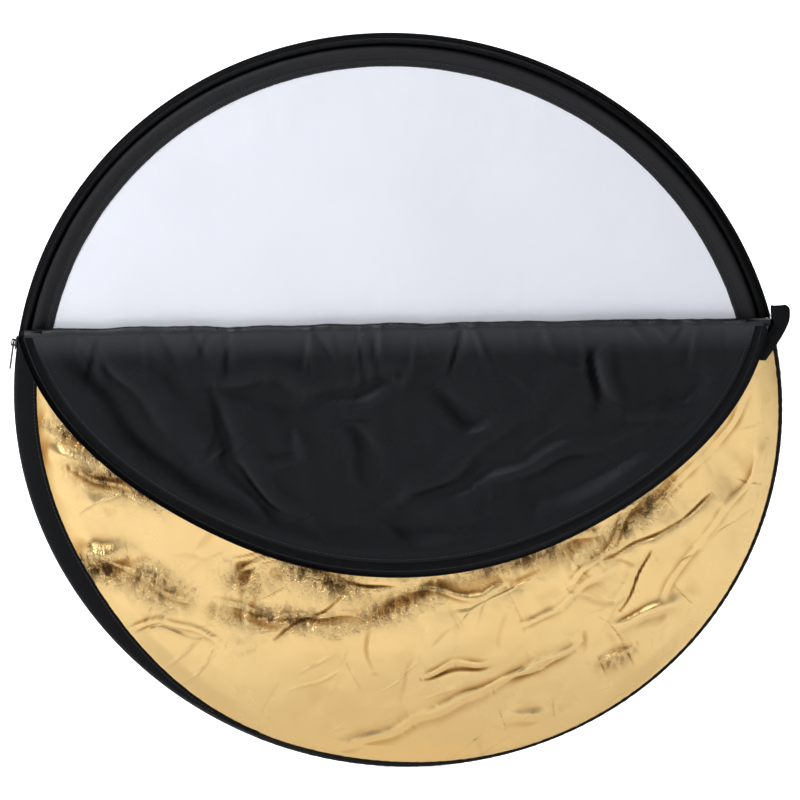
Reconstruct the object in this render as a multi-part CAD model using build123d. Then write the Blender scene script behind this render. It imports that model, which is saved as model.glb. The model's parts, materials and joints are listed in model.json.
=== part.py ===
from build123d import *
import os
from math import asin, degrees

os.makedirs("parts", exist_ok=True)

# A collapsible reflector: a sprung diffuser disc inside a zip-on cover whose front panel is folded half down.
# Millimetres. The disc stands upright in the XZ plane and faces -Y. The back face of the cover is y = 0 and
# the origin is its centre. "Depth" is the distance in front of the back face, so y = -depth. Angles run
# counter-clockwise from +X as seen from the front.

# Sprung disc
DISC_RADIUS = 398.0           # outside of the rim sleeve
DISC_MIDDLE = 6.6             # depth of the diffuser panel's middle plane
DIFFUSER_RADIUS = 380.0
DIFFUSER_THICKNESS = 0.3
SLEEVE_WIDTH = 23.0           # black band seen from the front
SLEEVE_FLANGE = 8.0           # its flat part, sewn to the diffuser
SLEEVE_SHOULDER = 6.0         # from the flat part to where the channel has its full depth
SLEEVE_CHAMFER = 1.6
HEM_SEAM = 1.5                # each seam's distance from the sleeve's inner edge
CHANNEL_SEAM = 6.5
SLEEVE_CLOTH = 0.5
SLEEVE_HALF_DEPTH = 3.9       # over the hoop
HOOP_RADIUS = 393.0
HOOP_STRIP = (0.8, 6.0)       # radial thickness and depth of the spring steel strip
HOOP_GAP = 0.4                # degrees between the strip's two ends
FERRULE_WALL = 0.25
FERRULE_SPAN = 10.0           # degrees
FERRULE_PLAY = 0.1
RIVET_RADIUS = 1.0
RIVET_HEAD_RADIUS = 1.8
RIVET_HEAD = 0.4
RIVET_PLAY = 0.05
RIVET_OFFSET = 3.0            # degrees to each side of the splice
SPLICE_ANGLE = 270.0

# Cover cloth
PANEL_RADIUS = 390.0          # where a panel meets the zip tape
BACK_PANEL_RADIUS = 398.0
EDGE_RADIUS = 409.2           # where a panel meets the sewn edge
CLOTH = 0.5
FRONT_DEPTH = 11.0            # inner face of the front panel
BINDING_CLOTH = 1.2
BINDING_LIP = 3.0
BINDING_LIP_CLOTH = 0.3
THREAD = 0.6                  # width of a line of stitches
THREAD_RISE = 0.25
SEAM_INSET = 6.0              # from a panel's edge to its seam
SEAM_MARGIN = 2.0             # degrees from the end of a zip tape to the end of its seam
TAIL_SIZE = (20.0, 22.0)      # the tape's doubled end, at the right of the fold
TAIL_CENTRE = 407.0
TAIL_CORNER = 4.0
TAIL_CLOTH = 0.6

# Zip
TAPE_CLOTH = 0.7
TAPE_INNER_RADIUS = 385.0
TAPE_SEAM_RADIUS = 388.0
TAPE_WALL_RADIUS = 410.0
TAPE_WALL_CLOTH = 0.9
COIL_INNER_RADIUS = 408.6
COIL_OUTER_RADIUS = 409.9
COIL_DEPTH = 0.9
BACK_TAPE_DEPTH = 1.0
BACK_TAPE_CLOTH = 0.6
FRONT_COIL_DEPTH = 3.6        # back face of the front half's coil, in front of the slider's post
FRONT_COIL_THICKNESS = 1.3
ZIP_END_ANGLE = 246.0         # lower left, where the two halves are joined for good
ZIP_TOP_ANGLE = 12.6          # right end of the fold, where the slider stops when the cover is shut
STOP_SPAN = 0.4               # degrees

# Fold and flap
FOLD_HEIGHT = 90.0
FOLD_DEPTH = 16.5             # the crease stands proud, so that folded cloth has room behind it
FOLD_GAP = 2.0                # between the fold and the pieces that stay clear of it
SLACK = 43.0                  # cloth that lies loose in the folded flap
FOLD_STRIP = 62.0
FOLD_STRIP_CLOTH = 0.45
FOLD_CORNER = 38.0            # length of the fold's piece of zip tape at each corner
FOLD_STRIP_HALF_WIDTH = 345.0
FOLD_CORNER_INNER = 398.0     # inner radius of that tape
FLAP_LINING_RADIUS = 396.0
FLAP_SEAM_RADIUS = 386.0

# Slider
SLIDER_ANGLE = 169.5
SLIDER_SPAN = 1.9             # degrees
SLIDER_PLATE = 1.4
SLIDER_PLAY = 0.4
SLIDER_BACK = 0.2             # depth of the slider's back face
SLIDER_LEG = 0.6
SLIDER_LEG_INNER = 403.0
SLIDER_FRONT = 6.5
POST_SPAN = 0.6               # degrees
POST_DEPTH = (2.7, 3.4)
CROWN_SIZE = (5.2, 8.0)       # radial and along the rim
CROWN_WIDTH = 2.2
CROWN_EYE = (2.8, 4.8)
PULL_PIN_RADIUS = 0.8
PULL_ARM = 1.3
PULL_PLATE = 1.8
PULL_LENGTH = 30.0
PULL_NECK = 6.0
PULL_SLOT = (6.0, 2.4)
PIN_STANDOFF = 2.0            # from the slider's outer plate to the pin's axis

SKY = 1000.0                  # side of a cutting outline larger than the disc
DISC_AXIS = Axis((0, 0, 0), (0, -1, 0))
FRONT_FACE = FRONT_DEPTH + 2 * CLOTH
SHUT_FLAP_HEIGHT = FOLD_HEIGHT + FOLD_GAP + SLACK
SEWN_START = ZIP_END_ANGLE + 0.5
SEWN_END = 360.0 + ZIP_TOP_ANGLE


def disc(radius):
    return Circle(radius)


def wedge(radius, start, end):
    """A pie slice of the disc's plane between two angles."""
    arc = CenterArc((0, 0), radius, start, end - start)
    return make_face([arc, Line((0, 0), arc @ 0), Line(arc @ 1, (0, 0))])


def ring(inner, outer, start, end):
    """A flat band between two radii and two angles."""
    return wedge(outer, start, end) - Circle(inner)


def below(height):
    return Pos(0, height - SKY / 2) * Rectangle(SKY, SKY)


def above(height):
    return Pos(0, height + SKY / 2) * Rectangle(SKY, SKY)


def plate(outline, back, front):
    """A flat piece: an outline in the disc's plane, between two depths."""
    return extrude(Plane.XZ.offset(back) * outline, front - back, dir=(0, -1, 0))


def section(inner, outer, back, front):
    """A rectangle in a rim section, between two radii and two depths."""
    return Pos((inner + outer) / 2, (back + front) / 2) * Rectangle(outer - inner, front - back)


def sweep_rim(profile, start, end):
    """A rim piece: a profile in (radius, depth), swept between two angles."""
    placed = Plane(origin=(0, 0, 0), x_dir=(1, 0, 0), z_dir=(0, 0, -1)) * profile
    return revolve(placed, DISC_AXIS, end - start).rotate(DISC_AXIS, start)


def fold_down(piece, slack=0.0):
    """Carry a piece of the shut front panel to where it hangs, folded over the front."""
    crease = Axis((0, -FOLD_DEPTH, FOLD_HEIGHT), (1, 0, 0))
    return Pos(0, 0, slack) * piece.rotate(crease, 180)


def angle_at(height, radius):
    """The angle on the right at which a circle reaches a height."""
    return degrees(asin(height / radius))


def save(node, *solids):
    children = [solid for piece in solids for solid in piece.solids()]
    shape = children[0] if len(children) == 1 else Compound(children=children)
    export_step(shape, f"parts/{node}.step")


# ---- sprung diffuser disc ----

def rim_sleeve():
    """The black binding: two flanges on the diffuser, opening into a channel round the hoop."""
    lip = DIFFUSER_THICKNESS / 2
    inside = SLEEVE_HALF_DEPTH - SLEEVE_CLOTH
    hem = DISC_RADIUS - SLEEVE_WIDTH
    neck = hem + SLEEVE_FLANGE
    inner_chamfer = SLEEVE_CHAMFER + 0.2
    outer = [
        (hem, lip + SLEEVE_CLOTH),
        (neck, lip + SLEEVE_CLOTH),
        (neck + SLEEVE_SHOULDER, SLEEVE_HALF_DEPTH),
        (DISC_RADIUS - SLEEVE_CHAMFER, SLEEVE_HALF_DEPTH),
        (DISC_RADIUS, SLEEVE_HALF_DEPTH - SLEEVE_CHAMFER),
    ]
    inner = [
        (DISC_RADIUS - SLEEVE_CLOTH, SLEEVE_HALF_DEPTH - inner_chamfer),
        (DISC_RADIUS - inner_chamfer, inside),
        (neck + 0.1 + SLEEVE_SHOULDER, inside),
        (neck + 0.1, lip),
        (hem, lip),
    ]
    front_half = inner + outer
    back_half = [(radius, -depth) for radius, depth in reversed(front_half)]
    profile = make_face(Polyline(*front_half, *back_half, close=True))
    return sweep_rim(Pos(0, DISC_MIDDLE) * profile, 0, 360)


def spring_strip(radius_play, depth_play):
    """The hoop strip's section, grown by a play."""
    thickness, width = HOOP_STRIP
    return section(
        HOOP_RADIUS - thickness / 2 - radius_play,
        HOOP_RADIUS + thickness / 2 + radius_play,
        DISC_MIDDLE - width / 2 - depth_play,
        DISC_MIDDLE + width / 2 + depth_play,
    )


def rivet_places():
    """Where the ferrule's rivets go: a frame on the hoop, its Z pointing away from the disc's centre."""
    for angle in (SPLICE_ANGLE - RIVET_OFFSET, SPLICE_ANGLE + RIVET_OFFSET):
        at_right = Plane(origin=(HOOP_RADIUS, -DISC_MIDDLE, 0), x_dir=(0, 1, 0), z_dir=(1, 0, 0))
        yield at_right.location, angle


def radial_cylinders(radius, length):
    return [
        (place * Cylinder(radius, length)).rotate(DISC_AXIS, angle) for place, angle in rivet_places()
    ]


def hoop_parts():
    """The strip, the ferrule that joins its ends, and the rivets through both."""
    strip = sweep_rim(spring_strip(0, 0), SPLICE_ANGLE + HOOP_GAP / 2, SPLICE_ANGLE + 360 - HOOP_GAP / 2)
    start, end = SPLICE_ANGLE - FERRULE_SPAN / 2, SPLICE_ANGLE + FERRULE_SPAN / 2
    wall = FERRULE_PLAY + FERRULE_WALL
    tube = spring_strip(wall, wall) - spring_strip(FERRULE_PLAY, FERRULE_PLAY)
    ferrule = sweep_rim(tube, start, end)
    shank = HOOP_STRIP[0] + 2 * wall + 0.2
    for hole in radial_cylinders(RIVET_RADIUS + RIVET_PLAY, 2 * shank):
        strip -= hole
        ferrule -= hole
    rivets = []
    for place, angle in rivet_places():
        rivet = Cylinder(RIVET_RADIUS, shank)
        for side in (-1, 1):
            rivet += Pos(0, 0, side * (shank + RIVET_HEAD) / 2) * Cylinder(RIVET_HEAD_RADIUS, RIVET_HEAD)
        rivets.append((place * rivet).rotate(DISC_AXIS, angle))
    return strip, ferrule, rivets


def face_threads(radius):
    """A line of stitches on each face of the sleeve's flanges."""
    rise = DIFFUSER_THICKNESS / 2 + SLEEVE_CLOTH
    front = section(radius, radius + THREAD, DISC_MIDDLE + rise, DISC_MIDDLE + rise + THREAD_RISE)
    back = section(radius, radius + THREAD, DISC_MIDDLE - rise - THREAD_RISE, DISC_MIDDLE - rise)
    return [sweep_rim(front, 0, 360), sweep_rim(back, 0, 360)]


half = DIFFUSER_THICKNESS / 2
strip, ferrule, rivets = hoop_parts()
save("rim_sleeve", rim_sleeve())
save("diffuser_panel", plate(disc(DIFFUSER_RADIUS), DISC_MIDDLE - half, DISC_MIDDLE + half))
save("spring_hoop", strip)
save("hoop_ferrule", ferrule)
save("hoop_rivets", *rivets)
save("hoop_channel_thread", *face_threads(DISC_RADIUS - SLEEVE_WIDTH + CHANNEL_SEAM))
save("rim_hem_thread", *face_threads(DISC_RADIUS - SLEEVE_WIDTH + HEM_SEAM))

# ---- cover: panels, sewn edge and the zip halves that stay with it ----

sewn = wedge(EDGE_RADIUS, ZIP_END_ANGLE, SEWN_END)
back_outline = disc(BACK_PANEL_RADIUS) + sewn
front_outline = (disc(PANEL_RADIUS) + sewn) & below(FOLD_HEIGHT - 1)
save("back_silver_panel", plate(back_outline, 0, CLOTH))
save("back_white_lining", plate(back_outline, CLOTH, 2 * CLOTH))
save("front_black_lining", plate(front_outline, FRONT_DEPTH, FRONT_DEPTH + CLOTH))
save("front_gold_panel", plate(front_outline, FRONT_DEPTH + CLOTH, FRONT_FACE))

binding_inner = EDGE_RADIUS + 0.1
binding_outer = binding_inner + BINDING_CLOTH
binding_lip = section(binding_outer - BINDING_LIP, binding_outer, FRONT_FACE, FRONT_FACE + BINDING_LIP_CLOTH)
binding = section(binding_inner, binding_outer, 0, FRONT_FACE) + binding_lip
save("edge_binding", sweep_rim(binding, SEWN_START, SEWN_END - 0.2))

tail_depth = FRONT_FACE + BINDING_LIP_CLOTH
tail_place = Pos(TAIL_CENTRE, FOLD_HEIGHT - FOLD_GAP - TAIL_SIZE[1] / 2)
tail_outline = tail_place * RectangleRounded(*TAIL_SIZE, TAIL_CORNER)
save("zip_tape_tail", plate(tail_outline, tail_depth, tail_depth + TAIL_CLOTH))

tape_outer = TAPE_WALL_RADIUS + TAPE_WALL_CLOTH
coil_start = ZIP_TOP_ANGLE + STOP_SPAN
coil_end = ZIP_END_ANGLE - 2 * STOP_SPAN
back_coil_depth = BACK_TAPE_DEPTH + BACK_TAPE_CLOTH
back_tape = ring(TAPE_INNER_RADIUS, tape_outer, ZIP_TOP_ANGLE, ZIP_END_ANGLE)
save("zip_tape_back", plate(back_tape, BACK_TAPE_DEPTH, back_coil_depth))


def coil(back, thickness, start, end):
    return sweep_rim(section(COIL_INNER_RADIUS, COIL_OUTER_RADIUS, back, back + thickness), start, end)


save("zip_coil_back", coil(back_coil_depth, COIL_DEPTH, coil_start + STOP_SPAN, coil_end))
save("zip_top_stop_back", coil(back_coil_depth, COIL_DEPTH, coil_start, coil_start + STOP_SPAN))
bottom_stop_depth = FRONT_COIL_DEPTH + FRONT_COIL_THICKNESS - back_coil_depth
save("zip_bottom_stop", coil(back_coil_depth, bottom_stop_depth, coil_end, coil_end + STOP_SPAN))


def tape_wall(start, end, front=FRONT_FACE):
    """The part of a front zip tape that turns back round the rim to its coil."""
    return sweep_rim(section(TAPE_WALL_RADIUS, tape_outer, FRONT_COIL_DEPTH, front), start, end)


def front_coil(start, end):
    return coil(FRONT_COIL_DEPTH, FRONT_COIL_THICKNESS, start, end)


def thread_ring(radius, back, start, end, rise=THREAD_RISE):
    return sweep_rim(section(radius, radius + THREAD, back, back + rise), start, end)


lower_top = 180 - angle_at(FOLD_HEIGHT - FOLD_GAP, TAPE_WALL_RADIUS)
lower_band = ring(TAPE_INNER_RADIUS, tape_outer, 90, ZIP_END_ANGLE) & below(FOLD_HEIGHT - FOLD_GAP)
lower_tape = plate(lower_band, FRONT_FACE, FRONT_FACE + TAPE_CLOTH) + tape_wall(lower_top, ZIP_END_ANGLE)
save("zip_tape_front_lower", lower_tape)
save("zip_coil_front_lower", front_coil(lower_top, coil_end))
save("back_seam_thread", thread_ring(BACK_PANEL_RADIUS - SEAM_INSET, back_coil_depth, coil_start, coil_end))
save(
    "front_seam_thread",
    thread_ring(TAPE_SEAM_RADIUS, FRONT_FACE + TAPE_CLOTH, lower_top + SEAM_MARGIN, coil_end),
    thread_ring(EDGE_RADIUS - SEAM_INSET, FRONT_FACE, SEWN_START + 1, SEWN_END - 1),
)

# ---- fold: the front panel's cloth at the crease, drawn shut and folded down ----

strip_back = FRONT_FACE + TAPE_CLOTH + 0.2
strip_middle = strip_back + FOLD_STRIP_CLOTH
strip_front = strip_middle + FOLD_STRIP_CLOTH
strip_top = above(FOLD_HEIGHT + 0.2)
corner_top = FOLD_HEIGHT + FOLD_CORNER
wide_part = disc(FOLD_CORNER_INNER - 0.5) & strip_top & below(corner_top)
narrow_centre = FOLD_HEIGHT + FOLD_STRIP / 2
narrow_part = Pos(0, narrow_centre) * Rectangle(2 * FOLD_STRIP_HALF_WIDTH, FOLD_STRIP - 0.4)
fold_outline = wide_part + narrow_part
save("fold_black_layer", fold_down(plate(fold_outline, strip_back, strip_middle)))
save("fold_gold_layer", fold_down(plate(fold_outline, strip_middle, strip_front)))

corner_start = angle_at(FOLD_HEIGHT + FOLD_GAP, COIL_INNER_RADIUS)
corner_end = angle_at(corner_top, TAPE_WALL_RADIUS)
foot = disc(tape_outer) - disc(FOLD_CORNER_INNER)
foot = foot & above(FOLD_HEIGHT + FOLD_GAP) & below(corner_top)
feet = plate(foot, strip_back, strip_front)
corner_walls = [
    tape_wall(corner_start, corner_end, strip_back),
    tape_wall(180 - corner_end, 180 - corner_start, strip_back),
]
save("fold_zip_tape", *[fold_down(solid) for solid in (feet + corner_walls).solids()])
save(
    "fold_zip_coil",
    fold_down(front_coil(corner_start + STOP_SPAN, corner_end)),
    fold_down(front_coil(180 - corner_end, 180 - corner_start)),
)
save("zip_top_stop_front", fold_down(front_coil(corner_start, corner_start + STOP_SPAN)))

# ---- flap: the front panel above the fold, drawn shut and folded down with its slack ----

flap_cut = above(SHUT_FLAP_HEIGHT)
flap_start = angle_at(SHUT_FLAP_HEIGHT, COIL_INNER_RADIUS)
flap_end = 180 - flap_start
flap_band = ring(TAPE_INNER_RADIUS, tape_outer, 0, 180) & flap_cut
flap_black = plate(disc(FLAP_LINING_RADIUS) & flap_cut, FRONT_DEPTH, FRONT_DEPTH + CLOTH)
flap_gold = plate(disc(PANEL_RADIUS) & flap_cut, FRONT_DEPTH + CLOTH, FRONT_FACE)
flap_tape = plate(flap_band, FRONT_FACE, FRONT_FACE + TAPE_CLOTH) + tape_wall(flap_start, flap_end)
flap_seam = (flap_start + SEAM_MARGIN, flap_end - SEAM_MARGIN)
flap_thread = thread_ring(FLAP_SEAM_RADIUS, FRONT_DEPTH - THREAD_RISE, *flap_seam)
save("flap_black_lining", fold_down(flap_black, SLACK))
save("flap_gold_layer", fold_down(flap_gold, SLACK))
save("flap_zip_tape", fold_down(flap_tape, SLACK))
save("flap_zip_coil", fold_down(front_coil(flap_start, flap_end), SLACK))
save("flap_seam_thread", fold_down(flap_thread, SLACK))

# ---- zip slider and its pull ----

slider_inner = TAPE_WALL_RADIUS + TAPE_WALL_CLOTH + 0.3
slider_outer = slider_inner + SLIDER_PLATE
slider_start = SLIDER_ANGLE - SLIDER_SPAN / 2
slider_end = SLIDER_ANGLE + SLIDER_SPAN / 2
inner_plate_outer = COIL_INNER_RADIUS - SLIDER_PLAY
inner_plate_back = back_coil_depth + 0.3
inner_plate = section(inner_plate_outer - SLIDER_PLATE, inner_plate_outer, inner_plate_back, SLIDER_FRONT)
outer_plate = section(slider_inner, slider_outer, SLIDER_BACK, SLIDER_FRONT)
back_leg = section(SLIDER_LEG_INNER, slider_outer, SLIDER_BACK, SLIDER_BACK + SLIDER_LEG)
post = section(inner_plate_outer - 0.2, slider_inner + 0.2, *POST_DEPTH)
slider = sweep_rim(outer_plate + back_leg, slider_start, slider_end)
slider += sweep_rim(inner_plate, slider_start, slider_end)
slider += sweep_rim(post, slider_start, slider_start + POST_SPAN)
save("slider_body", slider)

# The crown and the pull are drawn at the far left of the rim, then turned to the slider's place.
middle = (SLIDER_BACK + SLIDER_FRONT) / 2
pin_x = -(slider_outer + PIN_STANDOFF)


def at_slider(piece):
    return piece.rotate(DISC_AXIS, SLIDER_ANGLE - 180)


def crown():
    """An arch on the slider's outer plate, wide enough for the pull's pin to turn in."""
    sunk = 0.6
    arch = Pos(-slider_outer + sunk - CROWN_SIZE[0] / 2, 0) * RectangleRounded(*CROWN_SIZE, 1.2)
    opening = Pos(pin_x, 0) * RectangleRounded(*CROWN_EYE, 0.9)
    body = plate(arch - opening, middle - CROWN_WIDTH / 2, middle + CROWN_WIDTH / 2)
    rim = plate(disc(slider_outer), SLIDER_BACK, SLIDER_FRONT)
    return body - rim


def pull_tab():
    """A pin through the crown, an arm on each side of it, and a grip with a finger hole."""
    side = CROWN_WIDTH / 2 + 0.4
    pin = plate(Pos(pin_x, 0) * Circle(PULL_PIN_RADIUS), middle - side - PULL_ARM, middle + side + PULL_ARM)
    arm_outline = Pos(pin_x, -PULL_NECK / 2) * RectangleRounded(PULL_PLATE, PULL_NECK + 2.8, 0.85)
    arms = [
        plate(arm_outline, middle - side - PULL_ARM, middle - side),
        plate(arm_outline, middle + side, middle + side + PULL_ARM),
    ]
    length = PULL_LENGTH - PULL_NECK
    grip_centre = (pin_x - PULL_PLATE / 2, -middle, -PULL_NECK - length / 2)
    grip_plane = Plane(origin=grip_centre, x_dir=(0, 1, 0), z_dir=(1, 0, 0))
    finger_slot = Pos(0, -length / 4) * Rot(0, 0, 90) * SlotOverall(*PULL_SLOT)
    outline = RectangleRounded(2 * (side + PULL_ARM), length, 2.2) - finger_slot
    grip = extrude(grip_plane * outline, PULL_PLATE, dir=(1, 0, 0))
    return pin + arms + grip


save("slider_crown", at_slider(crown()))
save("pull_tab", at_slider(pull_tab()))
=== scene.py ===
import json
import math

import bmesh
import bpy
import numpy as np
from mathutils import Matrix, Vector


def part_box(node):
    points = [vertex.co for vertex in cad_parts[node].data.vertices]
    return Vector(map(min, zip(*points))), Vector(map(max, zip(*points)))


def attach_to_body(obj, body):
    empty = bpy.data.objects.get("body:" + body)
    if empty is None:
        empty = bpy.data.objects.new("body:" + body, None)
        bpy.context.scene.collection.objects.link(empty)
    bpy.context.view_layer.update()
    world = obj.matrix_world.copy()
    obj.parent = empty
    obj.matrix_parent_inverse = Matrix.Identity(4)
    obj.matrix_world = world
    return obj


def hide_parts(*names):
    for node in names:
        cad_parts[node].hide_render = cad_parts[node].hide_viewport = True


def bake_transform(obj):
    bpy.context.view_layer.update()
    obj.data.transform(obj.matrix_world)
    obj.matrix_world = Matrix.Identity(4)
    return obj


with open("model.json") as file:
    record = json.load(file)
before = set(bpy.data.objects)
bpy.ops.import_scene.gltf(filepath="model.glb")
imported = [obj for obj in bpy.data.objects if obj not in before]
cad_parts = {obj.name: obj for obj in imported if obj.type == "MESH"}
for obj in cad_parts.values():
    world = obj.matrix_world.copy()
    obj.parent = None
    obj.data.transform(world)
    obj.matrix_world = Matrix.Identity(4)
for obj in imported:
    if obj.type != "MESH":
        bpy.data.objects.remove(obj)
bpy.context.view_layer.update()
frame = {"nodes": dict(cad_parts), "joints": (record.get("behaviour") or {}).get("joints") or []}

# The looks of a collapsible reflector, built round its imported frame.
# Shapes are worked out in millimetres as (x, depth, z), where depth is the distance in front of the cover's
# back face, and are written to meshes in metres. Angles are in degrees, counter-clockwise from +X as seen
# from the front. "Shut" is the place a piece of the flap has when the cover is zipped up; "hung" is its
# place at rest, folded down over the crease.

RNG = np.random.default_rng(7)


# ---- sizes, from the frame ----

def box_mm(node):
    """A CAD node's lowest and highest (x, depth, z), in millimetres."""
    low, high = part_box(node)
    return np.array([low.x, -high.y, low.z]) * 1000, np.array([high.x, -low.y, high.z]) * 1000


def outer_radius(node):
    """Half of a CAD node's width, in millimetres."""
    low, high = box_mm(node)
    return (high[0] - low[0]) / 2


def depths(node):
    """The depths of a CAD node's back and front, in millimetres."""
    low, high = box_mm(node)
    return low[1], high[1]


JOINTS = {joint["name"]: joint for joint in frame["joints"]}
FOLD_DEPTH = -JOINTS["flap_crease"]["pos_m"][1] * 1000
FOLD_HEIGHT = JOINTS["flap_crease"]["pos_m"][2] * 1000
SLACK = JOINTS["flap_slack"]["range_m"][1] * 1000
SLEEVE_RADIUS = outer_radius("rim_sleeve")
DISC_MIDDLE = sum(depths("diffuser_panel")) / 2
COIL_HALF_BAND = 0.65       # half the width of the band that the CAD coil fills
COIL_RADIUS = outer_radius("zip_coil_back") - COIL_HALF_BAND
PANEL_BACK = depths("front_black_lining")[0]
PANEL_FRONT = depths("front_gold_panel")[1]
RIM_RADIUS = box_mm("edge_binding")[1][0]

# ---- sizes of the cloth ----

CLOTH = 0.5
ZIP_START = 12.6            # where the zip begins, at the right end of the fold
ZIP_END = 246.0             # where the zip stops, at the lower left
TAPE_INNER = 385.0          # the zip tape's sewn edge
TAPE_NARROWING = 16.0       # how much narrower the tape's front half is at its lower end
HEM = 396.5                 # the edge of the flap's black lining, inside the tape
SEWN_RADIUS = 409.3         # the panels' edge where the cover is sewn round the rim
ROUNDING = 10.5             # how far in from that edge the panels start to curve round
FOLD_EDGE = FOLD_HEIGHT - 4     # panels stop here and the roll of cloth at the fold starts
DROP_START = 88.0           # height where the flap's slack starts to take hold, at rest
DROP_END = -150.0           # height where all of it has
FLAP_FRONT = 21.9           # the furthest forward the flap's cloth lies at rest
NARROWING_START, NARROWING_RUN = 206, 40    # the degrees over which the zip tape narrows
LOWER_LEFT, LOWER_RIGHT = 228, 314          # the front panel grid's two lower corners
PAINTED_FOLD_HIGHLIGHT = -2.2               # painted highlight on the black cloth near the fold, where it rolls over and faces up into the light
SHARP_ANGLE = math.radians(55)


# ---- number helpers ----

def smooth(share):
    """0 below 0, 1 above 1, and an easy slope in between."""
    share = np.clip(share, 0, 1)
    return share * share * (3 - 2 * share)


def soft_floor(height, softness=1.3):
    """Heights with everything below 0 pressed up to it, without a kink."""
    return softness * np.logaddexp(0, height / softness)


def polar(radius, angle):
    """x and z at a radius and an angle."""
    turn = np.radians(angle)
    return radius * np.cos(turn), radius * np.sin(turn)


def waves(count, shortest, longest):
    """Random waves over a plane, for an uneven surface: a function of (x, z) that gives about -1 to 1."""
    lengths = RNG.uniform(shortest, longest, count)
    turns = RNG.uniform(0, 2 * math.pi, count)
    starts = RNG.uniform(0, 2 * math.pi, count)

    def height(x, z):
        total = np.zeros_like(x)
        for length, turn, start in zip(lengths, turns, starts):
            total += np.cos((x * math.cos(turn) + z * math.sin(turn)) * 2 * math.pi / length + start)
        return total / math.sqrt(count)

    return height


def line_waves(count, shortest, longest):
    """Random waves along a line, for gathers: a function of a distance that gives about -1 to 1."""
    plane = waves(count, shortest, longest)
    return lambda distance: plane(distance, np.zeros_like(distance))


def fold_line(x, z, start, end, width, height, crisp=True):
    """The height of one fold that runs from start to end and dies away over width to each side."""
    run_x, run_z = end[0] - start[0], end[1] - start[1]
    length = math.hypot(run_x, run_z)
    along = ((x - start[0]) * run_x + (z - start[1]) * run_z) / length
    across = ((x - start[0]) * run_z - (z - start[1]) * run_x) / length
    past = np.maximum(np.maximum(-along, along - length), 0)
    distance = np.hypot(across, past) / width
    taper = 0.25 + 0.75 * np.sin(np.pi * np.clip(along / length, 0, 1))
    shape = np.exp(1.6 * (1 - np.sqrt(1 + distance ** 2))) if crisp else np.exp(-distance ** 2)
    return height * taper * shape


def random_folds(x, z, count, area, length, width, height):
    """Many short folds scattered over area (x low, x high, z low, z high), half of them up and half down.
    A caller that runs more than once, or that mustn't change later draws, puts RNG's state back."""
    total = np.zeros_like(x)
    for _ in range(count):
        middle = RNG.uniform(area[0], area[1]), RNG.uniform(area[2], area[3])
        turn = RNG.uniform(0, math.pi)
        half = RNG.uniform(0.5, 1) * length / 2
        reach = half * math.cos(turn), half * math.sin(turn)
        start = middle[0] - reach[0], middle[1] - reach[1]
        end = middle[0] + reach[0], middle[1] + reach[1]
        total += fold_line(x, z, start, end, width * RNG.uniform(0.6, 1.4), height * RNG.choice([-1, 1]))
    return total


def sheet_waves(swell, ripple, warp):
    """The random waves of one sheet: broad ones, small ones, and two that bend its folds."""
    return waves(*swell), waves(*ripple), waves(*warp), waves(*warp)


def bent(x, z, warps, amount):
    """(x, z) moved about a little, so that folds laid out straight come out uneven."""
    return x + amount * warps[0](x, z), z + amount * warps[1](x, z)


def sewn_curve(radius):
    """How far a panel has curved away towards the sewn rim, from 0 to 1."""
    edge = np.clip((radius - (SEWN_RADIUS - ROUNDING)) / (ROUNDING + 1), 0, 1)
    return 1 - np.sqrt(1 - edge ** 2)


def angle_of(x, z):
    return np.degrees(np.arctan2(z, x)) % 360


# ---- mesh helpers ----

def quads(rows, columns, loop_rows=False, loop_columns=False):
    """Four-sided faces over a grid of points, closed on itself along either way if asked."""
    row, column = np.meshgrid(np.arange(rows - (not loop_rows)), np.arange(columns - (not loop_columns)),
                              indexing="ij")
    next_row, next_column = (row + 1) % rows, (column + 1) % columns
    corners = [row * columns + column, next_row * columns + column,
               next_row * columns + next_column, row * columns + next_column]
    return np.stack(corners, axis=-1).reshape(-1, 4)


def piece(name, points, faces, material, cloth=None, marks=None):
    """A smooth-shaded mesh from points in millimetres. cloth is each point's place in the flat cloth, in
    millimetres, and marks holds more numbers for each point, by name, for the materials."""
    points = np.asarray(points, float).reshape(-1, 3)
    mesh = bpy.data.meshes.new(name)
    mesh.from_pydata((points * (0.001, -0.001, 0.001)).tolist(), [], faces)
    shaped = bmesh.new()
    shaped.from_mesh(mesh)
    bmesh.ops.recalc_face_normals(shaped, faces=shaped.faces)
    shaped.to_mesh(mesh)
    shaped.free()
    mesh.polygons.foreach_set("use_smooth", [True] * len(mesh.polygons))
    mesh.set_sharp_from_angle(angle=SHARP_ANGLE)
    if cloth is not None:
        flat = np.zeros((len(points), 3))
        flat[:, :2] = np.asarray(cloth).reshape(-1, 2) * 0.001
        mesh.attributes.new("cloth", "FLOAT_VECTOR", "POINT").data.foreach_set("vector", flat.ravel())
    for mark, values in (marks or {}).items():
        mesh.attributes.new(mark, "FLOAT", "POINT").data.foreach_set("value", np.asarray(values).ravel())
    made = bpy.data.objects.new(name, mesh)
    bpy.context.scene.collection.objects.link(made)
    mesh.materials.append(material)
    return made


def attach(made, body, slot, *nodes):
    """Fastens a piece to a body; when body is a pair it only bakes the piece's place into its mesh and
    fastens it to neither. nodes are the CAD nodes that it replaces."""
    if isinstance(body, str):
        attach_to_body(made, body)
    else:
        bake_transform(made)
    if nodes:
        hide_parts(*nodes)


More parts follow.
